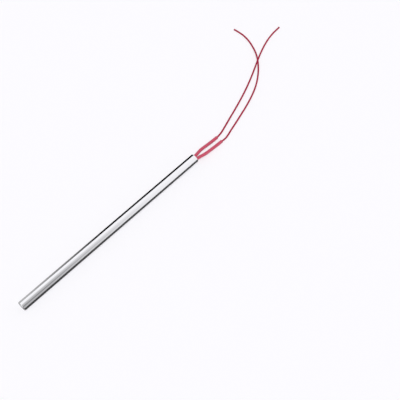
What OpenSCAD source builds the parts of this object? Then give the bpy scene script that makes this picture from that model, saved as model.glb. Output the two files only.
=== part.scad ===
// Cartridge heater: a stainless sheath packed with magnesia round a wound core, closed at one end,
// with two insulated leads out of the other. The sheath lies along X with its mouth at x = 0 and its
// closed end towards -X. Its axis is at z = 0, and the leads lie on the surface that it rests on.

/* [Sheath] */
// Outside diameter of the sheath tube
sheath_d = 10; // [9.5:0.5:14]
// Length of the sheath from its closed end to its mouth
sheath_l = 220; // [120:5:300]
// Wall of the sheath tube
sheath_wall = 0.8; // [0.5:0.1:1]
// Chamfer round the outside of the closed end
tip_chamfer = 0.5; // [0.2:0.1:0.7]
// Deburred edge inside the mouth
mouth_chamfer = 0.2; // [0.1:0.05:0.3]

/* [Closed end] */
// Thickness of the welded end plug
plug_t = 3; // [2:0.5:6]
// Chamfer round the plug's face, where the weld runs
plug_chamfer = 0.3; // [0.1:0.1:0.8]
// Thickness of the ceramic wafer behind the plug
wafer_t = 3; // [2:0.5:6]

/* [Core and coil] */
// Thickness of the packed magnesia between the coil and the sheath
fill_t = 0.58; // [0.4:0.02:0.6]
// Segments in the stack of core pieces
core_count = 8; // [4:1:12]
// Bevel round both ends of a core segment
core_bevel = 0.25; // [0.1:0.05:0.4]
// Diameter of the resistance wire
wire_d = 0.4; // [0.3:0.05:0.5]
// Pitch of the coil's turns, which is trimmed a little so that the last turn ends at its pin
coil_pitch = 4.5; // [3.5:0.5:8]
// Room at each end of the core for the tail of the coil
tail_room = 1.2; // [1:0.1:2]

/* [Pins] */
// Diameter of the two terminal pins
pin_d = 1.2; // [0.8:0.1:1.4]
// Depth of the short pin in the core
short_pin_in = 20; // [10:1:40]

/* [Mouth] */
// Length of the ceramic bushing that guides the pins
bushing_l = 5; // [3:0.5:8]
// Depth of the cement that seals the mouth
seal_l = 7; // [6:0.5:10]
// Distance from the mouth's edge back to the cement's face
seal_recess = 0.8; // [0.3:0.1:1.5]

/* [Splices] */
// Length of a crimp barrel
crimp_l = 6; // [5:0.5:10]
// Wall of a crimp barrel
crimp_wall = 0.35; // [0.2:0.05:0.5]
// Depth of the dents that the crimping tool leaves
dent_depth = 0.2; // [0.05:0.05:0.2]
// Distance that a barrel reaches into the mouth
crimp_in = 4.5; // [2:0.5:5]
// Diameter of the stripped conductor
conductor_d = 1; // [0.6:0.1:1.2]
// Bare conductor between a barrel and the lead's insulation
bare_l = 0.6; // [0.2:0.1:2]

/* [Sleeves] */
// Outside diameter of the insulating sleeves
sleeve_d = 3.4; // [3.2:0.1:3.5]
// Wall of a sleeve
sleeve_wall = 0.4; // [0.2:0.05:0.45]
// Gap between the sleeves where they leave the mouth side by side, which sets the pins apart
sleeve_gap = 0.2; // [0.1:0.05:0.4]
// Depth of a sleeve's end behind the mouth
sleeve_in = 6; // [5:0.5:7]
// Reach of the sleeves out of the mouth
sleeve_out = 36; // [28:1:40]
// Distance that each sleeve spreads sideways past the mouth
sleeve_spread = 1.6; // [0.5:0.1:2.5]
// Length over which the sleeves spread, from the end of the barrels
spread_run = 12; // [8:1:24]

/* [Leads] */
// Outside diameter of the leads
lead_d = 1.8; // [1:0.1:2]

/* [Hidden] */
// Fit of pieces pushed into one another
fit = 0.05;
// Room for a pin in a ceramic hole
pin_room = 0.1;
// Room round the coil, and between the coil and the core
coil_room = 0.03;
// Room under a lead inside its sleeve, and at its end
lead_room = 0.1;

// Steps and sides of the swept pieces
coil_steps = 12;
wire_sides = 6;
sleeve_sides = 12;
sleeve_steps = 10;
lead_sides = 8;
lead_inner_steps = 4;
$fn = 96;

// Radii from the sheath inwards, so that the coil and the core follow the sheath
sheath_r = sheath_d / 2;
bore_r = sheath_r - sheath_wall;
packing_r = bore_r - fit;
wire_r = wire_d / 2;
coil_r = packing_r - fill_t - wire_r - coil_room;
core_r = coil_r * cos(180 / coil_steps) - wire_r - coil_room;

// Radii of the pins, splices, sleeves and leads, and the distance between the pins' axes
pin_r = pin_d / 2;
pin_hole_r = pin_r + pin_room;
conductor_r = conductor_d / 2;
crimp_r = pin_r + fit + crimp_wall;
sleeve_r = sleeve_d / 2;
sleeve_bore_r = sleeve_r - sleeve_wall;
pin_pitch = sleeve_d + sleeve_gap;
lead_r = lead_d / 2;
floor_z = -sheath_r;

// Stations along the axis, from the closed end to the mouth
tip_x = -sheath_l;
plug_x = tip_x + plug_t;
wafer_x = plug_x + wafer_t;
core_start_x = wafer_x + tail_room;
seal_face_x = -seal_recess;
seal_back_x = seal_face_x - seal_l;
bushing_x = seal_back_x - bushing_l;
core_end_x = bushing_x - tail_room;
core_l = (core_end_x - core_start_x) / core_count;
crimp_start_x = -crimp_in;
crimp_mid_x = crimp_start_x + crimp_l / 2;
crimp_end_x = crimp_start_x + crimp_l;
conductor_end_x = crimp_end_x + bare_l;
lead_start_x = conductor_end_x + fit + lead_room;

// Turns of the coil: half a turn more than a whole number, so that it ends on the other pin's side
coil_start_x = core_start_x - tail_room / 2;
coil_end_x = core_end_x + tail_room / 2;
coil_turns = floor((coil_end_x - coil_start_x) / coil_pitch) + 0.5;
tail_r = pin_pitch / 2 + pin_r + wire_r + coil_room;
tail_steps = coil_steps / 2;

// Each lead's route on the surface past its sleeve: x, y and the lift in lead diameters.
// Lead 2 crosses over lead 1 in a low hump.
lead_routes = [
    [
        [45, 5, 0], [54.8, 8.1, 0], [65, 11.4, 0], [75.3, 14.7, 0], [85.5, 18.1, 0], [95.6, 21.7, 0],
        [105.6, 25.6, 0], [115.5, 29.8, 0], [125.3, 34.3, 0], [135, 39, 0], [144.7, 43.7, 0],
        [154.5, 48.1, 0], [164.5, 52, 0], [174.8, 55.1, 0], [185.4, 57.1, 0], [196.1, 57.9, 0]
    ],
    [
        [43.4, -3.1, 0], [53.3, -0.4, 0], [64, 2.5, 0], [74.6, 5.5, 0], [85.2, 8.6, 0], [95.7, 12.1, 0],
        [105.9, 16.1, 0], [115.8, 21, 0], [125.1, 26.9, 0.05], [133.7, 33.8, 0.45], [141.4, 41.7, 1.1],
        [148.1, 50.4, 0.65], [153.5, 60.1, 0.1], [157.3, 70.4, 0], [158.9, 81.3, 0], [158.1, 92.3, 0]
    ]
];

// Lead 1 is on the +Y side and lead 2 on the -Y side
function side(i) = i == 1 ? 1 : -1;
function pin_y(i) = side(i) * pin_pitch / 2;

function unit(v) = v / norm(v);
function ease(t) = t * t * (3 - 2 * t);

// Centreline of a sleeve at a station x: straight through the mouth, then apart and down to the surface
function share_past_barrel(x, run) = min(1, max(0, (x - crimp_end_x) / run));
function sleeve_point(i, x) = [
    x,
    pin_y(i) + side(i) * sleeve_spread * ease(share_past_barrel(x, spread_run)),
    (floor_z + sleeve_r) * ease(share_past_barrel(x, sleeve_out - crimp_end_x))
];
function sleeve_path(i) = concat(
    [sleeve_point(i, -sleeve_in)],
    [for (k = [0:sleeve_steps])
        sleeve_point(i, crimp_end_x + (sleeve_out - crimp_end_x) * k / sleeve_steps)]
);

// A lead lies on the centreline at its splice and on the sleeve's floor at the sleeve's end
lead_sag = sleeve_bore_r * cos(180 / sleeve_sides) - lead_r - lead_room;
function lead_inner(i) = [
    for (k = [0:lead_inner_steps])
        let (t = k / lead_inner_steps, x = lead_start_x + (sleeve_out - lead_start_x) * t)
            sleeve_point(i, x) - [0, 0, lead_sag * t * t]
];
function lead_points(i) = concat(
    lead_inner(i),
    [for (p = lead_routes[i - 1]) [p[0], p[1], floor_z + lead_r + p[2] * lead_d]]
);

// A smooth curve through the points, with one more point halfway along each span
function mid_point(a, b, c, d) = (9 * (b + c) - a - d) / 16;
function smooth(p) = let (last = len(p) - 1) concat(
    [for (k = [0:last - 1], half = [0, 1])
        half == 0 ? p[k] : mid_point(p[max(k - 1, 0)], p[k], p[k + 1], p[min(k + 2, last)])],
    [p[last]]
);
// The path of a lead, nowhere lower than the surface
function lead_path(i) = [for (p = smooth(lead_points(i))) [p[0], p[1], max(p[2], floor_z + lead_r)]];

// The wire starts beside the long pin, runs out to the core's edge, winds along the core and runs
// in again beside the short pin
function coil_point(angle, x, r) = [x, r * cos(angle), r * sin(angle)];
function tail_radius(k) = tail_r + (coil_r - tail_r) * k / tail_steps;
function coil_path() = let (turn_steps = coil_turns * coil_steps) concat(
    [for (k = [0:tail_steps - 1])
        coil_point(180 * k / tail_steps, coil_start_x, tail_radius(k))],
    [for (k = [0:turn_steps])
        let (share = k / turn_steps)
            coil_point(180 + 360 * coil_turns * share,
                       coil_start_x + (coil_end_x - coil_start_x) * share, coil_r)],
    [for (k = [tail_steps - 1:-1:0])
        coil_point(-180 * k / tail_steps + 180, coil_end_x, tail_radius(k))]
);

// Rings of points across a path, each square to it, with ref as the direction they are set by
function tangent(p, k) = unit(p[min(k + 1, len(p) - 1)] - p[max(k - 1, 0)]);
function ring(p, k, r, sides, ref) =
    let (t = tangent(p, k), a = unit(cross(ref, t)), b = cross(t, a))
        [for (s = [0:sides - 1]) p[k] + r * (a * cos(360 * s / sides) + b * sin(360 * s / sides))];
function rings(p, r, sides, ref) = [for (k = [0:len(p) - 1]) each ring(p, k, r, sides, ref)];
// The two triangles of each patch between neighbouring rings, from the vertex number first
function skin(first, count, sides, flip) = [
    for (k = [0:count - 2], s = [0:sides - 1])
        let (
            a = first + k * sides + s,
            b = first + k * sides + (s + 1) % sides,
            c = a + sides,
            d = b + sides
        )
            each flip ? [[a, b, d], [a, d, c]] : [[a, d, b], [a, c, d]]
];

// A solid rod along a path
module swept_rod(path, r, sides, ref) {
    count = len(path);
    start_cap = [for (s = [0:sides - 1]) s];
    end_cap = [for (s = [sides - 1:-1:0]) (count - 1) * sides + s];
    polyhedron(rings(path, r, sides, ref), concat([start_cap], skin(0, count, sides, false), [end_cap]));
}

// A hollow tube along a path, with a ring-shaped face at each end
module swept_tube(path, r, bore, sides, ref) {
    count = len(path);
    inner = count * sides;
    rims = [
        for (s = [0:sides - 1])
            let (
                next = (s + 1) % sides,
                far = (count - 1) * sides
            )
                each [
                    [s, next, inner + next], [s, inner + next, inner + s],
                    [far + s, inner + far + next, far + next], [far + s, inner + far + s, inner + far + next]
                ]
    ];
    polyhedron(
        concat(rings(path, r, sides, ref), rings(path, bore, sides, ref)),
        concat(skin(0, count, sides, false), skin(inner, count, sides, true), rims)
    );
}

// A round bar along X between two stations
module bar(x_from, x_to, r) {
    translate([x_from, 0, 0])
        rotate([0, 90, 0])
            cylinder(r = r, h = x_to - x_from);
}

// The same bar on the axis of a pin, on one side of the heater's own axis
module pin_bar(i, x_from, x_to, r) {
    translate([0, pin_y(i), 0])
        bar(x_from, x_to, r);
}

// A body of revolution about X, from an outline of radius and station
module turned(outline) {
    rotate([0, 90, 0])
        rotate_extrude()
            polygon(outline);
}

module sheath() {
    color("silver")
        turned([
            [bore_r, tip_x],
            [sheath_r - tip_chamfer, tip_x],
            [sheath_r, tip_x + tip_chamfer],
            [sheath_r, 0],
            [bore_r + mouth_chamfer, 0],
            [bore_r, -mouth_chamfer]
        ]);
}

module end_plug() {
    color("lightgray")
        turned([
            [0, tip_x],
            [packing_r - plug_chamfer, tip_x],
            [packing_r, tip_x + plug_chamfer],
            [packing_r, plug_x],
            [0, plug_x]
        ]);
}

module end_wafer() {
    color("white")
        bar(plug_x, wafer_x, packing_r);
}

// A bevelled segment of the core with a hole for each pin
module core(i) {
    start_x = core_start_x + (i - 1) * core_l;
    end_x = start_x + core_l;
    color("ivory")
        difference() {
            turned([
                [0, start_x],
                [core_r - core_bevel, start_x],
                [core_r, start_x + core_bevel],
                [core_r, end_x - core_bevel],
                [core_r - core_bevel, end_x],
                [0, end_x]
            ]);
            for (hole = [1, 2])
                pin_bar(hole, start_x - 1, end_x + 1, pin_hole_r);
        }
}

module heating_coil() {
    color("dimgray")
        swept_rod(coil_path(), wire_r, wire_sides, [1, 0, 0]);
}

// The packed powder between the coil and the sheath
module magnesia_fill() {
    color("whitesmoke")
        difference() {
            bar(wafer_x, bushing_x, packing_r);
            bar(wafer_x - 1, bushing_x + 1, coil_r + wire_r + coil_room);
        }
}

module long_pin() {
    color("gainsboro")
        pin_bar(1, wafer_x, crimp_mid_x, pin_r);
}

module short_pin() {
    color("gainsboro")
        pin_bar(2, core_end_x - short_pin_in, crimp_mid_x, pin_r);
}

module lead_bushing() {
    color("white")
        difference() {
            bar(bushing_x, seal_back_x, packing_r);
            for (i = [1, 2])
                pin_bar(i, bushing_x - 1, seal_back_x + 1, pin_hole_r);
        }
}

// The cement grips the pins at the back and the ends of the sleeves in front
module end_seal() {
    color("linen")
        difference() {
            bar(seal_back_x, seal_face_x, packing_r);
            for (i = [1, 2]) {
                pin_bar(i, seal_back_x - 1, seal_face_x + 1, pin_r + fit);
                pin_bar(i, -sleeve_in, seal_face_x + 1, sleeve_r + fit);
            }
        }
}

// A barrel bored from one end for the pin and from the other for the conductor, with a dent over each
module crimp(i) {
    dent_r = crimp_l / 8;
    dent_across = 4 * crimp_r;
    color("peru")
        difference() {
            pin_bar(i, crimp_start_x, crimp_end_x, crimp_r);
            pin_bar(i, crimp_start_x - 1, crimp_mid_x, pin_r + fit);
            pin_bar(i, crimp_mid_x - 1, crimp_end_x + 1, conductor_r + fit);
            for (x = [crimp_start_x + crimp_l / 4, crimp_end_x - crimp_l / 4], z = [-1, 1])
                translate([x, pin_y(i), z * (crimp_r - dent_depth + dent_r)])
                    rotate([90, 0, 0])
                        cylinder(r = dent_r, h = dent_across, center = true);
        }
}

module conductor(i) {
    color("sandybrown")
        pin_bar(i, crimp_mid_x, conductor_end_x, conductor_r);
}

module sleeve(i) {
    color("palevioletred")
        swept_tube(sleeve_path(i), sleeve_r, sleeve_bore_r, sleeve_sides, [0, 0, 1]);
}

module lead(i) {
    color("firebrick")
        swept_rod(lead_path(i), lead_r, lead_sides, [0, 0, 1]);
}

sheath();
end_plug();
end_wafer();
for (i = [1:core_count]) core(i);
heating_coil();
magnesia_fill();
long_pin();
short_pin();
lead_bushing();
end_seal();
for (i = [1, 2]) crimp(i);
for (i = [1, 2]) conductor(i);
for (i = [1, 2]) sleeve(i);
for (i = [1, 2]) lead(i);
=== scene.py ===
import math

import bmesh
import bpy
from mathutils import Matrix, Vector, geometry, noise


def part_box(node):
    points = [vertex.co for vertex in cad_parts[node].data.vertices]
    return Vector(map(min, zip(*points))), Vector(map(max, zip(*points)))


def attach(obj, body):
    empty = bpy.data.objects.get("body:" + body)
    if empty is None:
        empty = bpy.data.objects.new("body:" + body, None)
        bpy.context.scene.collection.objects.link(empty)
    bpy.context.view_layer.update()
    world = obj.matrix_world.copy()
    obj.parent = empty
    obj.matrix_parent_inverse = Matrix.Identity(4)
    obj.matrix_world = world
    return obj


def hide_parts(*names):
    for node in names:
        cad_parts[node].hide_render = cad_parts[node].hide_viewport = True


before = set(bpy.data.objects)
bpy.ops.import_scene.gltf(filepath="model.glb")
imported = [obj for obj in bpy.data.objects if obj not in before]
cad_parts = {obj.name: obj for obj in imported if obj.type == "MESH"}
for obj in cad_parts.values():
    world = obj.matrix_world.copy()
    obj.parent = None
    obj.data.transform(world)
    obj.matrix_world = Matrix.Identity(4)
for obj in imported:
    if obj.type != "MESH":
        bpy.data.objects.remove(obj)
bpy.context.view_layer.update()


# Camera
# The heater lies on a pale table and is seen from above with a short telephoto lens.
# Its closed end is at the lower left, and the leads run out at the upper right.
MM = 0.001
view_azimuth = math.radians(-45.8)
view_elevation = math.radians(60)
view_distance = 677.5 * MM
view_centre = Vector((-30.67, -37.23, 0)) * MM
lens_length = 63
sensor_width = 36
nearest_view = 10 * MM

scene = bpy.context.scene
scene.view_settings.view_transform = "Standard"
towards_camera = Vector((
    math.sin(view_azimuth) * math.cos(view_elevation),
    -math.cos(view_azimuth) * math.cos(view_elevation),
    math.sin(view_elevation),
))
camera_data = bpy.data.cameras.new("camera")
camera_data.lens = lens_length
camera_data.sensor_width = sensor_width
camera_data.clip_start = nearest_view
camera = bpy.data.objects.new("camera", camera_data)
camera.location = view_centre + towards_camera * view_distance
camera.rotation_euler = towards_camera.to_track_quat("Z", "Y").to_euler()
scene.collection.objects.link(camera)
scene.camera = camera


# Leads
# Two stranded copper leads in a fine red glass braid that is varnished, so that its yarns lie low.
# Each starts at its splice inside its sleeve, lies on the table and ends in a plain cut.
lead_diameter = 1.8 * MM
lead_bore_r = 0.5 * MM
lead_start_x = 2.25 * MM
lead_inner_steps = 4
lead_smoothings = 3
lead_room = 0.1 * MM
pin_y = {1: 1.8 * MM, 2: -1.8 * MM}
splice_end_x = 1.5 * MM
sleeve_diameter = 3.4 * MM
sleeve_bore = 2.6 * MM
sleeve_sides = 12
sleeve_end_x = 36 * MM
sleeve_spread = 1.6 * MM
spread_run = 12 * MM
table_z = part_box("sheath")[0].z
lead_low = table_z + lead_diameter / 2

# The CAD sleeves have flat sides, and a lead sags until it lies on one, with a little room.
lead_sag = sleeve_bore / 2 * math.cos(math.pi / sleeve_sides) - lead_diameter / 2 - lead_room

# Each point has its place on the table in metres and its lift above the table in lead diameters.
lead_routes = {
    1: [
        (0.045, 0.005, 0), (0.0548, 0.0081, 0), (0.065, 0.0114, 0), (0.0753, 0.0147, 0),
        (0.0855, 0.0181, 0), (0.0956, 0.0217, 0), (0.1056, 0.0256, 0), (0.1155, 0.0298, 0),
        (0.1253, 0.0343, 0), (0.135, 0.039, 0), (0.1447, 0.0437, 0), (0.1545, 0.0481, 0),
        (0.1645, 0.052, 0), (0.1748, 0.0551, 0), (0.1854, 0.0571, 0), (0.1961, 0.0579, 0),
    ],
    2: [
        (0.0434, -0.0031, 0), (0.0533, -0.0004, 0), (0.064, 0.0025, 0), (0.0746, 0.0055, 0),
        (0.0852, 0.0086, 0), (0.0957, 0.0121, 0), (0.1059, 0.0161, 0), (0.1158, 0.021, 0),
        (0.1251, 0.0269, 0.05), (0.1337, 0.0338, 0.45), (0.1414, 0.0417, 1.1), (0.1481, 0.0504, 0.65),
        (0.1535, 0.0601, 0.1), (0.1573, 0.0704, 0), (0.1589, 0.0813, 0), (0.1581, 0.0923, 0),
    ],
}


def eased(x, run):
    """A smooth rise from 0 at the end of the splice to 1 a run further on."""
    t = min(1, max(0, (x - splice_end_x) / run))
    return t * t * (3 - 2 * t)


def sleeve_point(number, x):
    """A point on a sleeve's centre line, which spreads sideways and sinks to the table."""
    away = math.copysign(sleeve_spread, pin_y[number]) * eased(x, spread_run)
    drop = (table_z + sleeve_diameter / 2) * eased(x, sleeve_end_x - splice_end_x)
    return Vector((x, pin_y[number] + away, drop))


def smooth(points):
    """Adds a point halfway along each span, on a smooth curve through the points."""
    last = len(points) - 1
    finer = []
    for k in range(last):
        before, after = points[max(k - 1, 0)], points[min(k + 2, last)]
        finer += [points[k], (9 * (points[k] + points[k + 1]) - before - after) / 16]
    return finer + [points[last]]


def lead_path(number, route):
    """A lead's centre line: through its sleeve, where it sags to the lower wall, and along its route."""
    points = []
    for k in range(lead_inner_steps + 1):
        t = k / lead_inner_steps
        inner = sleeve_point(number, lead_start_x + (sleeve_end_x - lead_start_x) * t)
        points.append(inner - Vector((0, 0, lead_sag * t * t)))
    points += [Vector((x, y, lead_low + lift * lead_diameter)) for x, y, lift in route]
    for _ in range(lead_smoothings):
        points = smooth(points)
        points = [Vector((p.x, p.y, max(p.z, lead_low))) for p in points]
    return points


lead_paths = {number: lead_path(number, route) for number, route in lead_routes.items()}


class Pen:
    """One socket of a node tree. Arithmetic on pens adds Math nodes to that tree."""

    def __init__(self, tree, made=None, socket=None):
        self.tree = tree
        self.made = made
        self.socket = socket

    def node(self, kind, settings=None, sockets=None):
        """Adds a node, sets it, fills or links its sockets, and gives a pen on its first output."""
        made = self.tree.nodes.new(kind)
        for name, value in (settings or {}).items():
            setattr(made, name, value)
        for name, value in (sockets or {}).items():
            if isinstance(value, Pen):
                self.tree.links.new(value.socket, made.inputs[name])
            else:
                made.inputs[name].default_value = value
        return Pen(self.tree, made, made.outputs[0] if made.outputs else None)

    def out(self, name):
        return Pen(self.tree, self.made, self.made.outputs[name])

    def math(self, operation, *others):
        return self.node("ShaderNodeMath", {"operation": operation}, dict(enumerate((self, *others))))

    def __add__(self, other):
        return self.math("ADD", other)

    __radd__ = __add__

    def __sub__(self, other):
        return self.math("SUBTRACT", other)

    def __rsub__(self, other):
        return self.node("ShaderNodeMath", {"operation": "SUBTRACT"}, {0: other, 1: self})

    def __mul__(self, other):
        return self.math("MULTIPLY", other)

    __rmul__ = __mul__

    def __truediv__(self, other):
        return self.math("DIVIDE", other)

    def __rtruediv__(self, other):
        return self.node("ShaderNodeMath", {"operation": "DIVIDE"}, {0: other, 1: self})

    def vector(self, operation, other):
        return self.node("ShaderNodeVectorMath", {"operation": operation}, {0: self, 1: other})

    def scaled(self, factor):
        return self.node("ShaderNodeVectorMath", {"operation": "SCALE"}, {0: self, "Scale": factor})

    def blend(self, factor, first, second):
        """Goes from the first colour to the second as the factor goes from 0 to 1."""
        mixed = self.node("ShaderNodeMix", {"data_type": "RGBA"}, {0: factor, 6: first, 7: second})
        return mixed.out(2)


def new_material(name):
    """An empty material, and a pen to fill its tree."""
    material = bpy.data.materials.new(name)
    material.use_nodes = True
    material.node_tree.nodes.clear()
    return material, Pen(material.node_tree)


def surface(pen, sockets):
    """Ends a material with one shader for its whole surface."""
    shader = pen.node("ShaderNodeBsdfPrincipled", {}, sockets)
    pen.node("ShaderNodeOutputMaterial", {}, {"Surface": shader})


def new_tree(name, inputs):
    """Starts a Geometry Nodes tree that works on a base and has the named inputs."""
    tree = bpy.data.node_groups.new(name, "GeometryNodeTree")
    tree.interface.new_socket("Base", in_out="INPUT", socket_type="NodeSocketGeometry")
    for label, kind in inputs.items():
        tree.interface.new_socket(label, in_out="INPUT", socket_type="NodeSocket" + kind)
    tree.interface.new_socket("Piece", in_out="OUTPUT", socket_type="NodeSocketGeometry")
    pen = Pen(tree)
    return tree, pen, pen.node("NodeGroupInput")


def end_tree(pen, shape, given):
    """Ends a tree with plain geometry in the material that it was given."""
    real = pen.node("GeometryNodeRealizeInstances", {}, {"Geometry": shape})
    dressed = pen.node("GeometryNodeSetMaterial", {}, {"Geometry": real, "Material": given.out("Material")})
    pen.node("NodeGroupOutput", {}, {"Piece": dressed})


seam_gap = 0.0001 * MM


def finished(mesh, sharp_degrees):
    """Closes a mesh's seams, drops loose points, turns faces outwards and smooths all but sharp edges."""
    work = bmesh.new()
    work.from_mesh(mesh)
    bmesh.ops.remove_doubles(work, verts=work.verts, dist=seam_gap)
    bmesh.ops.delete(work, geom=[point for point in work.verts if not point.link_faces], context="VERTS")
    bmesh.ops.recalc_face_normals(work, faces=work.faces)
    work.to_mesh(mesh)
    work.free()
    mesh.shade_smooth()
    mesh.set_sharp_from_angle(angle=math.radians(sharp_degrees))
    return mesh


def grow(name, path, tree, sizes):
    """Runs a node tree on a path of points and gives the result as a plain closed mesh."""
    curve = bpy.data.curves.new(name, "CURVE")
    curve.dimensions = "3D"
    spline = curve.splines.new("POLY")
    spline.points.add(len(path) - 1)
    for place, point in zip(spline.points, path):
        place.co = (*point, 1)
    host = bpy.data.objects.new(name + "_host", curve)
    scene.collection.objects.link(host)
    modifier = host.modifiers.new("tree", "NODES")
    modifier.node_group = tree
    for item in tree.interface.items_tree:
        if item.in_out == "INPUT" and item.name in sizes:
            modifier[item.identifier] = sizes[item.name]
    graph = bpy.context.evaluated_depsgraph_get()
    mesh = bpy.data.meshes.new_from_object(host.evaluated_get(graph), depsgraph=graph)
    bpy.data.objects.remove(host)
    mesh.name = name
    return finished(mesh, sharp_degrees=60)


def add_piece(name, mesh, material=None):
    """Puts a mesh into the scene as a piece of the heater, which is all one body."""
    piece = bpy.data.objects.new(name, mesh)
    scene.collection.objects.link(piece)
    if material:
        mesh.materials.clear()
        mesh.materials.append(material)
    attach(piece, "root")
    return piece


# The braid is a tube of two sets of yarns that wind opposite ways, each over one and under one. A sheet is
# rolled into it: its rows run along the outside, back through the bore and on to the first row again.
# Each yarn has a shade of its own, which is a step of angle on from the last yarn's.
yarn_dive = 0.35
yarn_shade_step = 12.9898
set_shade_step = 4.1

braid_tree, pen, given = new_tree("braid", {
    "Radius": "Float", "Bore": "Float", "Yarns": "Float", "Lay": "Float", "Relief": "Float",
    "Around": "Int", "Rows": "Int", "Inner Rows": "Int", "Material": "Material",
})
yarns = given.out("Yarns")
rows = given.out("Rows")
inner_rows = given.out("Inner Rows")
last_row = rows + inner_rows + 2
sheet = pen.node("GeometryNodeMeshGrid", {}, {
    "Size X": 1, "Size Y": 1, "Vertices X": last_row + 1, "Vertices Y": given.out("Around") + 1,
})
place = pen.node("ShaderNodeSeparateXYZ", {}, {0: pen.node("GeometryNodeInputPosition")})
row = ((place.out("X") + 0.5) * last_row).math("ROUND")
turn = place.out("Y") + 0.5
is_last = row.math("GREATER_THAN", last_row - 0.5)
is_inner = row.math("GREATER_THAN", rows + 0.5) * (1 - is_last)
outer_share = row / rows * (1 - is_inner) * (1 - is_last)
inner_share = (1 - (row - rows - 1) / inner_rows) * is_inner
share = outer_share + inner_share
length = pen.node("GeometryNodeCurveLength", {}, {"Curve": given.out("Base")})
turns_along = share * length / given.out("Lay")


def yarn_set(across_set, across_others, dive):
    """The number of the yarn at each point of one set, and its height from 0 in a gap to 1 on its crown."""
    number = across_set.math("FLOOR")
    across_yarn = (across_set - number) * 2 - 1
    crown = (1 - across_yarn * across_yarn).math("SQRT")
    wave = ((across_others + number - 0.5) * math.pi).math("COSINE")
    return number, crown * (wave * dive + (1 - yarn_dive))


first_set = (turn + turns_along) * yarns
second_set = (turn - turns_along) * yarns
first_number, first_height = yarn_set(first_set, second_set, yarn_dive)
second_number, second_height = yarn_set(second_set, first_set, -yarn_dive)
height = first_height.math("MAXIMUM", second_height)
is_first = first_height.math("GREATER_THAN", second_height)
yarn_number = first_number * is_first + (second_number + 1) * (1 - is_first)
yarn_number = yarn_number.math("FLOORED_MODULO", yarns)
shade = (yarn_number * yarn_shade_step + is_first * set_shade_step).math("SINE") * 0.5 + 0.5
sample = pen.node("GeometryNodeSampleCurve", {"mode": "FACTOR"}, {
    "Curves": given.out("Base"), "Factor": share,
})
forward = sample.out("Tangent")
sideways = forward.vector("CROSS_PRODUCT", sample.out("Normal")).vector("NORMALIZE", (0, 0, 0))
upwards = sideways.vector("CROSS_PRODUCT", forward)
angle = turn * (2 * math.pi)
spoke = upwards.scaled(angle.math("COSINE")).vector("ADD", sideways.scaled(angle.math("SINE")))
outer_radius = given.out("Radius") - given.out("Relief") * (1 - height)
radius = outer_radius * (1 - is_inner) + given.out("Bore") * is_inner
target = sample.out("Position").vector("ADD", spoke.scaled(radius))
noted = sheet
for label, value in (("yarn_height", height * (1 - is_inner)), ("yarn_shade", shade)):
    noted = pen.node("GeometryNodeStoreNamedAttribute", {"data_type": "FLOAT", "domain": "POINT"}, {
        "Geometry": noted, "Name": label, "Value": value,
    })
shaped = pen.node("GeometryNodeSetPosition", {}, {"Geometry": noted, "Position": target})
closed = pen.node("GeometryNodeMergeByDistance", {}, {"Geometry": shaped, "Distance": seam_gap})
end_tree(pen, closed, given)


def braid_material(name, yarn_colour, dark_tone_and_gap_shade, roughness, coat, sheen):
    """Coated yarns that darken into the gaps between them by painted shade, unevenly in tone, with fine
    fibres along their faces.
    """
    gap_softness = 0.2
    yarn_variation = 0.14
    blotch_variation = 0.16
    blotch_roughness = 0.12
    crown_polish = 0.08
    material, pen = new_material(name)
    height = pen.node("ShaderNodeAttribute", {"attribute_name": "yarn_height"}).out("Fac")
    shade = pen.node("ShaderNodeAttribute", {"attribute_name": "yarn_shade"}).out("Fac")
    place = pen.node("ShaderNodeTexCoord").out("Object")
    blotch = pen.node("ShaderNodeTexNoise", {}, {"Vector": place, "Scale": 120, "Detail": 3})
    fibre = pen.node("ShaderNodeTexNoise", {}, {"Vector": place, "Scale": 9000, "Detail": 2})
    # The yarns' own tone drifts at random towards the darker colour, and the gaps between yarns get that
    # colour as painted shade.
    yarn = pen.blend(shade * yarn_variation + blotch * blotch_variation, yarn_colour, dark_tone_and_gap_shade)
    surface(pen, {
        "Base Color": pen.blend(height.math("SMOOTH_MIN", 1, gap_softness), dark_tone_and_gap_shade, yarn),
        "Roughness": roughness + blotch * blotch_roughness - height * crown_polish,
        "Coat Weight": coat,
        "Coat Roughness": 0.35,
        "Specular IOR Level": 0.15,
        "Sheen Weight": sheen,
        "Sheen Roughness": 0.4,
        "Normal": pen.node("ShaderNodeBump", {}, {"Height": fibre, "Strength": 0.15, "Distance": 0.04 * MM}),
    })
    return material


lead_red = braid_material(
    "lead_red", yarn_colour=(0.41, 0.017, 0.060, 1), dark_tone_and_gap_shade=(0.33, 0.011, 0.040, 1),
    roughness=0.6, coat=0.0, sheen=0.0,
)
for number, path in lead_paths.items():
    mesh = grow(f"lead_{number}_braid", path, braid_tree, {
        "Radius": lead_diameter / 2, "Bore": lead_bore_r, "Yarns": 8.0, "Lay": 5 * MM, "Relief": 0.06 * MM,
        "Around": 32, "Rows": 1700, "Inner Rows": 60, "Material": lead_red,
    })
    add_piece(f"lead_{number}_braid", mesh)
    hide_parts(f"lead_{number}")


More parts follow.
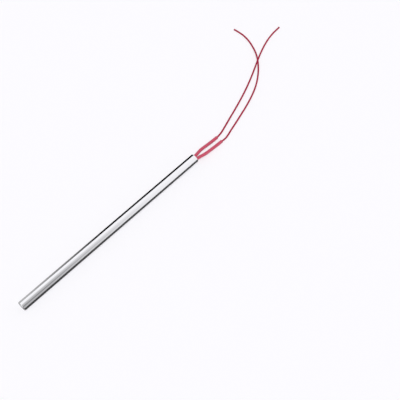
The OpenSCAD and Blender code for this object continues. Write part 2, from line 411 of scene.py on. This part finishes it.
# Sleeves
# A loose length of red woven glass sleeving covers each splice. It is soaked in resin and bedded in
# the cement at the mouth, and it bends down until its open end lies on the table.
sleeve_start_x = -6 * MM
sleeve_steps = 48
sleeve_red = braid_material(
    "sleeve_red", yarn_colour=(0.62, 0.095, 0.16, 1), dark_tone_and_gap_shade=(0.46, 0.045, 0.085, 1),
    roughness=0.45, coat=0.2, sheen=0.8,
)
step = (sleeve_end_x - splice_end_x) / sleeve_steps
stations = [sleeve_start_x] + [splice_end_x + step * k for k in range(sleeve_steps + 1)]
for number in lead_routes:
    path = [sleeve_point(number, x) for x in stations]
    mesh = grow(f"sleeve_{number}_weave", path, braid_tree, {
        "Radius": sleeve_diameter / 2, "Bore": sleeve_bore / 2, "Yarns": 12.0, "Lay": 11 * MM,
        "Relief": 0.1 * MM, "Around": 84, "Rows": 400, "Inner Rows": 40, "Material": sleeve_red,
    })
    add_piece(f"sleeve_{number}_weave", mesh)
    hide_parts(f"sleeve_{number}")


# Cut ends of the leads
# Nineteen tinned copper strands fill each lead, and its cut end shows them in two rings round a middle one.
# They are cut off almost level with the braid.
strand_r = 0.1 * MM
strand_length = 4 * MM
length_spread = 0.015
pull_spread = 0.05 * MM
pull_seed_step = 3
copper = (0.62, 0.42, 0.30, 1)
tin = (0.70, 0.64, 0.58, 1)
strand_roughness = 0.28
tarnish_roughness = 0.2

# The strands in each ring, and the ring's radius in strand diameters.
strand_rings = {6: 1.0, 12: 1.95}

strand_tree, pen, given = new_tree("strands", {
    "Strand Radius": "Float", "Length": "Float", "Seed": "Int", "Place": "Vector", "Turn": "Rotation",
    "Material": "Material",
})


def drawn_lot(low, high, seed):
    """A number for each strand, drawn at random between two limits."""
    lot = seed.node("FunctionNodeRandomValue", {"data_type": "FLOAT"}, {2: low, 3: high, "Seed": seed})
    return lot.out(1)


def along_strand(distance):
    """A shift by a distance along the strands."""
    return distance.node("ShaderNodeCombineXYZ", {}, {"Z": distance})


spots = pen.node("GeometryNodeJoinGeometry")
for count, reach in strand_rings.items():
    ring = pen.node("GeometryNodeMeshCircle", {}, {
        "Vertices": count, "Radius": given.out("Strand Radius") * (2 * reach),
    })
    pen.tree.links.new(ring.socket, spots.made.inputs["Geometry"])
middle = pen.node("GeometryNodeMeshLine", {}, {"Count": 1})
pen.tree.links.new(middle.socket, spots.made.inputs["Geometry"])
strand = pen.node("GeometryNodeMeshCylinder", {"fill_type": "TRIANGLE_FAN"}, {
    "Vertices": 10, "Radius": given.out("Strand Radius"), "Depth": given.out("Length"),
})
sunk = pen.node("GeometryNodeTransform", {}, {
    "Geometry": strand, "Translation": along_strand(given.out("Length") * -0.5),
})
uneven = drawn_lot(1 - length_spread, 1 + length_spread, given.out("Seed"))
strands = pen.node("GeometryNodeInstanceOnPoints", {}, {
    "Points": spots, "Instance": sunk,
    "Scale": pen.node("ShaderNodeCombineXYZ", {}, {"X": 1, "Y": 1, "Z": uneven}),
})
pulled = drawn_lot(-pull_spread, pull_spread, given.out("Seed") + pull_seed_step)
strands = pen.node("GeometryNodeTranslateInstances", {}, {
    "Instances": strands, "Translation": along_strand(pulled),
})
set_out = pen.node("GeometryNodeTransform", {}, {
    "Geometry": strands, "Translation": given.out("Place"), "Rotation": given.out("Turn"),
})
end_tree(pen, set_out, given)

strand_copper, pen = new_material("conductor")
place = pen.node("ShaderNodeTexCoord").out("Object")
tarnish = pen.node("ShaderNodeTexNoise", {}, {"Vector": place, "Scale": 2500, "Detail": 3})
surface(pen, {
    "Base Color": pen.blend(tarnish, copper, tin),
    "Metallic": 1,
    "Roughness": strand_roughness + tarnish * tarnish_roughness,
})
for number, path in lead_paths.items():
    direction = (path[-1] - path[-2]).normalized()
    mesh = grow(f"lead_{number}_strands", path[-2:], strand_tree, {
        "Strand Radius": strand_r, "Length": strand_length, "Seed": number, "Place": path[-1],
        "Turn": direction.to_track_quat("Z", "Y").to_euler(), "Material": strand_copper,
    })
    strands_piece = add_piece(f"lead_{number}_strands", mesh)


# Sheath
# A drawn stainless tube, ground and polished on the outside, with a chamfer at its closed end and a
# deburred edge inside its mouth. It holds everything else.
sheath_low, sheath_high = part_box("sheath")
tip_x, mouth_x, sheath_r = sheath_low.x, sheath_high.x, sheath_high.z
sheath_wall = 0.8 * MM
tip_chamfer = 0.5 * MM
mouth_chamfer = 0.2 * MM
edge_round = 0.08 * MM
bore_r = sheath_r - sheath_wall
polished_steel = (0.86, 0.86, 0.875, 1)
smudged_steel = (0.79, 0.79, 0.81, 1)
sheath_roughness = 0.05
smudge_roughness = 0.06
grind_roughness = 0.03


def rounded(corners, radius, steps=4, most_of_side=0.4):
    """Rounds the corners of a closed outline of (x, r) points, each by the same radius at most."""
    outline = []
    for k, corner in enumerate(corners):
        corner = Vector(corner)
        before = Vector(corners[k - 1]) - corner
        after = Vector(corners[(k + 1) % len(corners)]) - corner
        reach = min(radius, before.length * most_of_side, after.length * most_of_side)
        start = corner + before.normalized() * reach
        end = corner + after.normalized() * reach
        for t in (s / steps for s in range(steps + 1)):
            outline.append(start * (1 - t) ** 2 + corner * 2 * t * (1 - t) + end * t * t)
    return outline


def turned(name, outline, segments=192):
    """Turns a closed outline of (x, r) points about the heater's axis."""
    count = len(outline)
    vertices = []
    faces = []
    for s in range(segments):
        angle = 2 * math.pi * s / segments
        vertices += [(x, r * math.cos(angle), r * math.sin(angle)) for x, r in outline]
        ring, following = s * count, (s + 1) % segments * count
        for k in range(count):
            other = (k + 1) % count
            faces.append((ring + k, ring + other, following + other, following + k))
    mesh = bpy.data.meshes.new(name)
    mesh.from_pydata(vertices, [], faces)
    return finished(mesh, sharp_degrees=30)


sheath_steel, pen = new_material("sheath_steel")
place = pen.node("ShaderNodeTexCoord").out("Object")
around = pen.node("ShaderNodeMapping", {}, {"Vector": place, "Scale": (9000, 260, 260)})
grind = pen.node("ShaderNodeTexNoise", {}, {"Vector": around, "Scale": 1, "Detail": 2})
smudge = pen.node("ShaderNodeTexNoise", {}, {"Vector": place, "Scale": 55, "Detail": 4, "Roughness": 0.6})
surface(pen, {
    "Base Color": pen.blend(smudge, polished_steel, smudged_steel),
    "Metallic": 1,
    "Roughness": sheath_roughness + smudge * smudge_roughness + grind * grind_roughness,
    "Normal": pen.node("ShaderNodeBump", {}, {"Height": grind, "Strength": 0.05, "Distance": 0.02 * MM}),
})
sheath_outline = rounded([
    (tip_x, bore_r),
    (tip_x, sheath_r - tip_chamfer),
    (tip_x + tip_chamfer, sheath_r),
    (mouth_x, sheath_r),
    (mouth_x, bore_r + mouth_chamfer),
    (mouth_x - mouth_chamfer, bore_r),
], edge_round)
sheath = add_piece("sheath_tube", turned("sheath_tube", sheath_outline), sheath_steel)
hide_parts("sheath")


# Closed end
# A stainless disc closes the end of the sheath. It is welded in all round, and the bead is left as a low
# ring of ripples with a trace of heat colour.
weld_r = 4.1 * MM
weld_points = 96
ripple_slant = 0.45
ripple_depth = 0.35
heat_start_r = 2.6 * MM
heat_strength = 0.25
disc_steel = (0.36, 0.36, 0.38, 1)
heated_steel = (0.38, 0.32, 0.25, 1)
disc_roughness = 0.18
turning_roughness = 0.14


def dress(material, *nodes):
    """Gives CAD nodes that stay in view a finer material."""
    for node in nodes:
        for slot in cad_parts[node].material_slots:
            slot.material = material


def ramp(value, start, end, first, last, rise="LINEAR"):
    """Goes from first to last as a value goes from start to end."""
    return value.node("ShaderNodeMapRange", {"interpolation_type": rise}, {
        "Value": value, "From Min": start, "From Max": end, "To Min": first, "To Max": last,
    })


def ring_point(x, radius, turns):
    """A point on a ring about the heater's axis."""
    angle = 2 * math.pi * turns
    return Vector((x, radius * math.cos(angle), radius * math.sin(angle)))


plug_steel, pen = new_material("plug_steel")
place = pen.node("ShaderNodeTexCoord").out("Object")
from_axis = pen.node("ShaderNodeVectorMath", {"operation": "LENGTH"}, {
    0: place.vector("MULTIPLY", (0, 1, 1)),
}).out("Value")
turning = pen.node("ShaderNodeTexNoise", {"noise_dimensions": "1D"}, {
    "W": from_axis, "Scale": 9000, "Detail": 2,
})
heat = ramp(from_axis, start=heat_start_r, end=weld_r, first=0, last=heat_strength)
surface(pen, {
    "Base Color": pen.blend(heat, disc_steel, heated_steel),
    "Metallic": 1,
    "Roughness": disc_roughness + turning * turning_roughness,
    "Normal": pen.node("ShaderNodeBump", {}, {"Height": turning, "Strength": 0.2, "Distance": 0.02 * MM}),
})
dress(plug_steel, "end_plug")

weld_tree, pen, given = new_tree("weld", {
    "Half Width": "Float", "Height": "Float", "Ripples": "Float", "Around": "Int", "Across": "Int",
    "Material": "Material",
})
sheet = pen.node("GeometryNodeMeshGrid", {}, {
    "Size X": 1, "Size Y": 1, "Vertices X": given.out("Around") + 1, "Vertices Y": given.out("Across") + 1,
})
place = pen.node("ShaderNodeSeparateXYZ", {}, {0: pen.node("GeometryNodeInputPosition")})
share = place.out("X") + 0.5
section = (place.out("Y") + 0.5) * (2 * math.pi)
across = section.math("COSINE")
wave = ((share * given.out("Ripples") + across * across * ripple_slant) * math.pi).math("SINE")
crest = wave.math("ABSOLUTE").math("SQRT") * ripple_depth + (1 - ripple_depth)
proud = given.out("Height") * section.math("SINE") * crest
sample = pen.node("GeometryNodeSampleCurve", {"mode": "FACTOR"}, {
    "Curves": given.out("Base"), "Factor": share,
})
spoke = sample.out("Position").vector("MULTIPLY", (0, 1, 1)).vector("NORMALIZE", (0, 0, 0))
target = sample.out("Position").vector("ADD", spoke.scaled(given.out("Half Width") * across))
target = target.vector("ADD", pen.node("ShaderNodeCombineXYZ", {}, {"X": proud * -1}))
shaped = pen.node("GeometryNodeSetPosition", {}, {"Geometry": sheet, "Position": target})
end_tree(pen, shaped, given)
weld_path = [ring_point(tip_x, weld_r, k / weld_points) for k in range(weld_points + 1)]
weld_mesh = grow("end_weld", weld_path, weld_tree, {
    "Half Width": 0.38 * MM, "Height": 0.09 * MM, "Ripples": 60.0, "Around": 600, "Across": 16,
    "Material": plug_steel,
})
add_piece("end_weld", weld_mesh)


# Cement seal
# Ceramic cement is pressed into the mouth round the sleeves and dries hard. It creeps up the sleeves
# and the wall a little, so its face is dished and lumpy. Its sizes here are in millimetres.
seal_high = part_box("end_seal")[1] / MM
seal_face_x, seal_r = seal_high.x, seal_high.z
sleeve_room = 0.02
seal_hole_r = sleeve_diameter / 2 / MM + sleeve_room
seal_grid = 0.2
skin_depth = 0.1
wall_points = 96
hole_points = 72
creep = 0.3
wall_creep = 0.15
sleeve_fade = 0.35
wall_fade = 0.3
lump_height = 0.06
lumps_per_mm = 1.4
lump_layer = 3


def grained(name, light, dark, metallic, roughness, grain, relief):
    """A material whose colour and gloss follow a fine grain, given as grains per metre along each axis."""
    grain_roughness = 0.12
    material, pen = new_material(name)
    place = pen.node("ShaderNodeTexCoord").out("Object")
    stretched = pen.node("ShaderNodeMapping", {}, {"Vector": place, "Scale": grain})
    specks = pen.node("ShaderNodeTexNoise", {}, {"Vector": stretched, "Scale": 1, "Detail": 4})
    surface(pen, {
        "Base Color": pen.blend(specks, light, dark),
        "Metallic": metallic,
        "Roughness": roughness + specks * grain_roughness,
        "Normal": pen.node("ShaderNodeBump", {}, {"Height": specks, "Strength": 0.5, "Distance": relief}),
    })
    return material


cement = grained(
    "cement", light=(0.84, 0.80, 0.73, 1), dark=(0.66, 0.62, 0.55, 1), metallic=0, roughness=0.8,
    grain=(3000, 3000, 3000), relief=0.05 * MM,
)
dress(cement, "end_seal")
hole_places = [Vector((y / MM, 0)) for y in pin_y.values()]


def rim(centre, radius, count):
    """Points round a circle in the cement's face."""
    turns = [2 * math.pi * k / count for k in range(count)]
    return [centre + Vector((math.cos(a), math.sin(a))) * radius for a in turns]


def from_sleeve(spot):
    """Distance from the nearer sleeve's hole, below 0 inside it."""
    return min((spot - hole).length for hole in hole_places) - seal_hole_r


edges = [rim(Vector((0, 0)), seal_r, wall_points)]
edges += [rim(hole, seal_hole_r, hole_points) for hole in hole_places]
spots = []
rims = []
for edge in edges:
    first = len(spots)
    spots += edge
    rims += [(first + k, first + (k + 1) % len(edge)) for k in range(len(edge))]
cells = round(seal_r / seal_grid)
for row in range(-cells, cells + 1):
    for column in range(-cells, cells + 1):
        spot = Vector((column + 0.5 * (row % 2), row)) * seal_grid
        if spot.length < seal_r - seal_grid / 2 and from_sleeve(spot) > seal_grid / 3:
            spots.append(spot)
inside_rims = 1
nearest_spots = 1e-6

laid, _, triangles, *_ = geometry.delaunay_2d_cdt(spots, rims, [], inside_rims, nearest_spots)
triangles = [tri for tri in triangles if from_sleeve((laid[tri[0]] + laid[tri[1]] + laid[tri[2]]) / 3) > 0]
face_points = []
for spot in laid:
    rise = creep * math.exp(-max(from_sleeve(spot), 0) / sleeve_fade)
    rise += wall_creep * math.exp(-max(seal_r - spot.length, 0) / wall_fade)
    rise += lump_height * noise.noise((spot.x * lumps_per_mm, spot.y * lumps_per_mm, lump_layer))
    face_points.append(Vector((seal_face_x + rise, spot.x, spot.y)) * MM)
back_points = [Vector(((seal_face_x - skin_depth) * MM, point.y, point.z)) for point in face_points]
edge_uses = {}
for tri in triangles:
    for side in zip(tri, (*tri[1:], tri[0])):
        edge_uses.setdefault(frozenset(side), []).append(side)
count = len(laid)
backs = [[k + count for k in reversed(tri)] for tri in triangles]
walls = [(a, b, b + count, a + count) for (a, b), *others in edge_uses.values() if not others]
seal_mesh = bpy.data.meshes.new("seal_skin")
seal_mesh.from_pydata(face_points + back_points, [], [*triangles, *backs, *walls])
add_piece("seal_skin", finished(seal_mesh, sharp_degrees=50), cement)


# Splices
# Under each sleeve a tinned barrel is crimped over the end of a pin and the lead's bare conductor, and
# holds the two end to end.
crimp_metal = grained(
    "crimp_metal", light=(0.74, 0.70, 0.63, 1), dark=(0.60, 0.55, 0.48, 1), metallic=1, roughness=0.26,
    grain=(600, 4000, 4000), relief=0.01 * MM,
)
dress(crimp_metal, "crimp_1", "crimp_2")
dress(strand_copper, "conductor_1", "conductor_2")


# Pins and heating coil
# Two drawn nickel pins carry the current. A dull nickel-chromium wire is wound on the core, and each of
# its tails curls in to a pin, where it is fixed.
coil_pitch = 4.5 * MM
coil_wire_r = 0.2 * MM
coil_steps = 36
tail_clearance = 0.03 * MM
half_turn = 0.5
pin_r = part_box("long_pin")[1].z
core_nodes = [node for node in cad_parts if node.startswith("core_")]
core_start_x = min(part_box(node)[0].x for node in core_nodes)
core_end_x = max(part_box(node)[1].x for node in core_nodes)
coil_start_x = (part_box("end_wafer")[1].x + core_start_x) / 2
coil_end_x = (core_end_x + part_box("lead_bushing")[0].x) / 2
coil_length = coil_end_x - coil_start_x
coil_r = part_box("heating_coil")[1].z - coil_wire_r
tail_r = pin_y[1] + pin_r + coil_wire_r + tail_clearance

# A tail takes half a turn between a pin and the core's edge. The coil's odd half turn brings the wire round
# to the other pin's side.
coil_turns = math.floor(coil_length / coil_pitch) + half_turn

nickel = grained(
    "nickel", light=(0.74, 0.71, 0.65, 1), dark=(0.62, 0.59, 0.53, 1), metallic=1, roughness=0.2,
    grain=(120, 6000, 6000), relief=0.01 * MM,
)
dress(nickel, "long_pin", "short_pin")
resistance_wire = grained(
    "resistance_wire", light=(0.40, 0.39, 0.37, 1), dark=(0.26, 0.25, 0.25, 1), metallic=1, roughness=0.34,
    grain=(3000, 3000, 3000), relief=0.01 * MM,
)

wire_tree, pen, given = new_tree("wire", {"Wire Radius": "Float", "Sides": "Int", "Material": "Material"})
section = pen.node("GeometryNodeCurvePrimitiveCircle", {}, {
    "Resolution": given.out("Sides"), "Radius": given.out("Wire Radius"),
})
drawn = pen.node("GeometryNodeCurveToMesh", {}, {
    "Curve": given.out("Base"), "Profile Curve": section, "Fill Caps": True,
})
end_tree(pen, drawn, given)

tail_steps = round(half_turn * coil_steps)
turn_steps = round(coil_turns * coil_steps)
tail = [(half_turn * k / tail_steps, tail_r + (coil_r - tail_r) * k / tail_steps) for k in range(tail_steps)]
shares = [k / turn_steps for k in range(turn_steps + 1)]
winding = [ring_point(coil_start_x, radius, turns) for turns, radius in tail]
winding += [ring_point(coil_start_x + coil_length * s, coil_r, half_turn + coil_turns * s) for s in shares]
winding += [ring_point(coil_end_x, radius, half_turn - turns) for turns, radius in reversed(tail)]
coil_mesh = grow("coil_winding", winding, wire_tree, {
    "Wire Radius": coil_wire_r, "Sides": 10, "Material": resistance_wire,
})
coil = add_piece("coil_winding", coil_mesh)
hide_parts("heating_coil")


# Core, packing and ceramic discs
# The core is a stack of pressed magnesia pieces with two holes for the pins, and magnesia powder is
# packed round the coil. A fired ceramic disc insulates each end.
magnesia = grained(
    "magnesia", light=(0.90, 0.88, 0.83, 1), dark=(0.78, 0.76, 0.70, 1), metallic=0, roughness=0.85,
    grain=(5000, 5000, 5000), relief=0.03 * MM,
)
dress(magnesia, "magnesia_fill", *core_nodes)
ceramic = grained(
    "ceramic", light=(0.88, 0.86, 0.80, 1), dark=(0.80, 0.78, 0.72, 1), metallic=0, roughness=0.45,
    grain=(2500, 2500, 2500), relief=0.01 * MM,
)
dress(ceramic, "end_wafer", "lead_bushing")


# Floor and light
# A white table in a light tent: even light from all round and a soft lamp high above the camera's side,
# so that shadows fall behind. Dark cards behind the sheath and in front of it, which only mirrors show,
# edge the polished metal.
table_reach = 6000 * MM
table_colour = (0.955, 0.945, 0.985, 1)
table_glow = (0.985, 0.978, 1, 1)
glow_share = 0.6


def stage_sheet(name, corners, material):
    """A flat sheet with four corners that isn't part of the heater."""
    mesh = bpy.data.meshes.new(name)
    mesh.from_pydata(corners, [], [(0, 1, 2, 3)])
    mesh.materials.append(material)
    sheet = bpy.data.objects.new(name, mesh)
    scene.collection.objects.link(sheet)
    return sheet


table_white, pen = new_material("table_white")
ray = pen.node("ShaderNodeLightPath")
looked_at = ray.out("Is Camera Ray").math("MAXIMUM", ray.out("Is Glossy Ray"))
looked_at = looked_at.math("MAXIMUM", ray.out("Is Transmission Ray"))
paper = pen.node("ShaderNodeBsdfDiffuse", {}, {"Color": table_colour})
glow = pen.node("ShaderNodeEmission", {}, {"Color": table_glow, "Strength": 1})
mixed = pen.node("ShaderNodeMixShader", {}, {0: looked_at * glow_share, 1: paper, 2: glow})
pen.node("ShaderNodeOutputMaterial", {}, {"Surface": mixed})
stage_sheet("table", [
    (-table_reach, -table_reach, table_z), (table_reach, -table_reach, table_z),
    (table_reach, table_reach, table_z), (-table_reach, table_reach, table_z),
], table_white)

# The cards run past both ends of the heater, and their grey changes along the half at the closed end.
card_z = table_z + 0.2 * MM
card_start_x, card_end_x = -320 * MM, 500 * MM
grey_start_x, grey_end_x = -212 * MM, -118 * MM
far_foot_y = 6.5 * MM
far_top_y, far_top_z = 250 * MM, 160 * MM
near_start_y, near_foot_y = -5.8 * MM, -6.5 * MM
near_end_y = -14 * MM
near_top_y, near_top_z = -300 * MM, 45 * MM


def dark_card(name, corners, tip_grey, mouth_grey):
    """A card that only mirrors show, with one grey at the closed end and another towards the mouth."""
    material, pen = new_material(name)
    place = pen.node("ShaderNodeSeparateXYZ", {}, {0: pen.node("ShaderNodeTexCoord").out("Object")})
    grey = ramp(place.out("X"), start=grey_start_x, end=grey_end_x, first=tip_grey, last=mouth_grey)
    shade = pen.node("ShaderNodeEmission", {}, {"Strength": grey})
    pen.node("ShaderNodeOutputMaterial", {}, {"Surface": shade})
    card = stage_sheet(name, corners, material)
    card.visible_camera = False
    card.visible_diffuse = False
    card.visible_shadow = False
    card.visible_transmission = False


dark_card("far_card", [
    (card_start_x, far_foot_y, card_z), (card_end_x, far_foot_y, card_z),
    (card_end_x, far_top_y, far_top_z), (card_start_x, far_top_y, far_top_z),
], tip_grey=0.54, mouth_grey=0.004)
dark_card("near_card", [
    (card_start_x, near_start_y, card_z), (card_start_x, near_foot_y, card_z),
    (card_end_x, near_top_y, near_top_z), (card_end_x, near_end_y, card_z),
], tip_grey=0.06, mouth_grey=0.08)

# The tent mirrors as white on its far side. It greys overhead and more on the near side, lifts again at the
# near rim, and all this fades towards the leads. The table and the pieces get a plain even light from it.
tent_colour = (0.985, 0.98, 1.0, 1)
mirrored_white = 1.15
even_light = 0.55

world = bpy.data.worlds.new("tent")
scene.world = world
world.use_nodes = True
world.node_tree.nodes.clear()
pen = Pen(world.node_tree)
ray = pen.node("ShaderNodeLightPath")
way = pen.node("ShaderNodeSeparateXYZ", {}, {0: pen.node("ShaderNodeTexCoord").out("Generated")})
overhead = ramp(way.out("Y"), start=0.4, end=-0.35, first=0, last=0.55, rise="SMOOTHSTEP")
near_side = ramp(way.out("Y"), start=-0.45, end=-0.7, first=0, last=0.27, rise="SMOOTHSTEP")
near_rim = ramp(way.out("Y"), start=-0.74, end=-0.9, first=0, last=0.24, rise="SMOOTHSTEP")
fade = ramp(way.out("X"), start=0.06, end=0.4, first=1.05, last=0.12)
mirrored = mirrored_white - (overhead + near_side - near_rim) * fade
seen = ray.out("Is Camera Ray")
glossy = ray.out("Is Glossy Ray")
strength = seen + (1 - seen) * (glossy * mirrored + (1 - glossy) * even_light)
background = pen.node("ShaderNodeBackground", {}, {"Color": tent_colour, "Strength": strength})
pen.node("ShaderNodeOutputWorld", {}, {"Surface": background})

lamp_energy = 1.57
lamp_spread = math.radians(20)
towards_lamp = Vector((-0.15, -0.3, 0.94))

lamp_data = bpy.data.lights.new("lamp", "SUN")
lamp_data.energy = lamp_energy
lamp_data.angle = lamp_spread
lamp = bpy.data.objects.new("lamp", lamp_data)
lamp.rotation_euler = towards_lamp.to_track_quat("Z", "Y").to_euler()
lamp.visible_glossy = False
scene.collection.objects.link(lamp)
